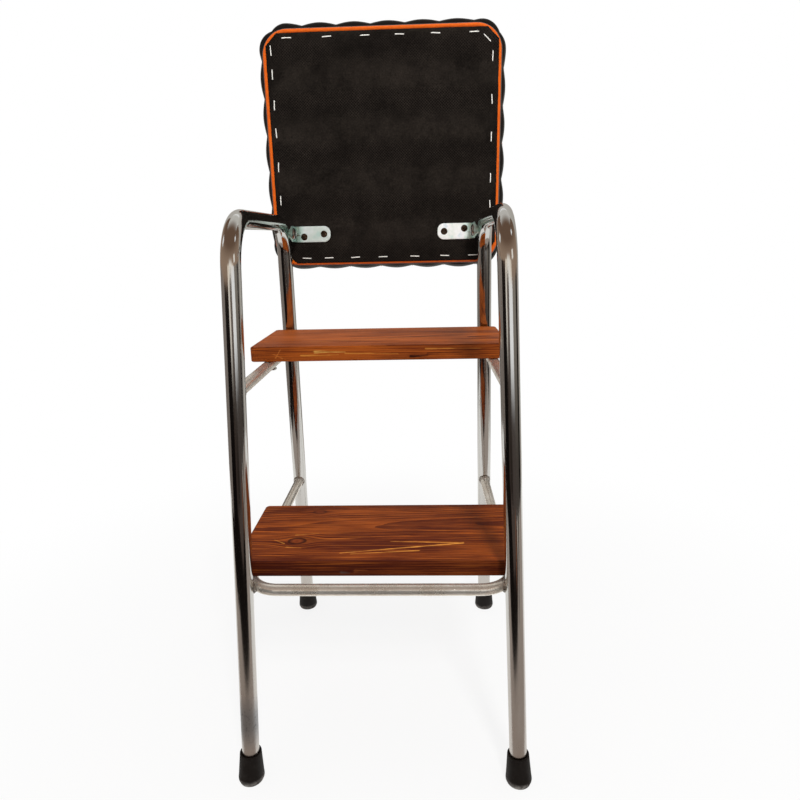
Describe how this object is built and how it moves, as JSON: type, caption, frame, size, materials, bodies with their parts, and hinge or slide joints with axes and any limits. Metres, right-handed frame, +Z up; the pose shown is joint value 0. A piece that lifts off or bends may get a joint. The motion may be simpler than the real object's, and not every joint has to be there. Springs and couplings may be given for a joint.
{
  "type": "step stool chair",
  "caption": "Bent chrome tube step stool with wooden treads and a padded seat that hinges up clear of them.",
  "frame": {"origin": "on the floor in the middle of the four feet, which is the bottom centre of the bounding box", "axes": "+Z up, +Y to the rear where the seat hinges, +X to the right of someone facing the treads"},
  "size_m": [0.311, 0.3477, 0.8102],
  "materials": {
    "chrome": "polished chrome plate on bent steel tube",
    "satin_chrome": "duller chrome plate on the thinner tube and the weld beads",
    "rubber": "matt black rubber",
    "stained_pine": "red-brown stained pine, satin",
    "plywood": "raw plywood",
    "black_vinyl": "glossy black vinyl, diamond quilted",
    "orange_vinyl": "smooth orange piping",
    "black_cloth": "matt non-woven dust cover",
    "zinc": "bright zinc plate",
    "bronze": "dark bronzed steel",
    "steel": "plated steel"
  },
  "bodies": {
    "frame": {"side_frame_left": "chrome", "side_frame_right": "chrome", "ferrule_front_left": "rubber", "ferrule_front_right": "rubber", "ferrule_rear_left": "rubber", "ferrule_rear_right": "rubber", "pivot_bolt_left": "steel", "pivot_bolt_right": "steel", "pivot_washer_left": "zinc", "pivot_washer_right": "zinc", "pivot_insert_left": "zinc", "pivot_insert_right": "zinc", "lower_step_support": "satin_chrome", "lower_corner_weld_left": "satin_chrome", "lower_corner_weld_right": "satin_chrome", "lower_butt_weld_left": "satin_chrome", "lower_butt_weld_right": "satin_chrome", "lower_step_board": "stained_pine", "lower_board_screw_front_left": "steel", "lower_board_screw_front_right": "steel", "lower_board_screw_rear_left": "steel", "lower_board_screw_rear_right": "steel", "upper_step_support": "satin_chrome", "upper_corner_weld_left": "satin_chrome", "upper_corner_weld_right": "satin_chrome", "upper_butt_weld_left": "satin_chrome", "upper_butt_weld_right": "satin_chrome", "upper_step_board": "stained_pine", "upper_board_screw_front_left": "steel", "upper_board_screw_front_right": "steel", "upper_board_screw_rear_left": "steel", "upper_board_screw_rear_right": "steel"},
    "seat": {"seat_base": "plywood", "dust_cover": "black_cloth", "seat_piping": "orange_vinyl", "seat_cushion": "black_vinyl", "hinge_bracket_left": "zinc", "hinge_bracket_right": "zinc", "bracket_screw_left_tip": "bronze", "bracket_screw_left_heel": "bronze", "bracket_screw_right_tip": "bronze", "bracket_screw_right_heel": "bronze"}
  },
  "joints": [
    {"name": "seat_fold", "type": "hinge", "parent": "frame", "child": "seat", "pos_m": [0, 0.08981, 0.56609], "axis": [1, 0, 0], "range_deg": [0, 92.31]}
  ]
}
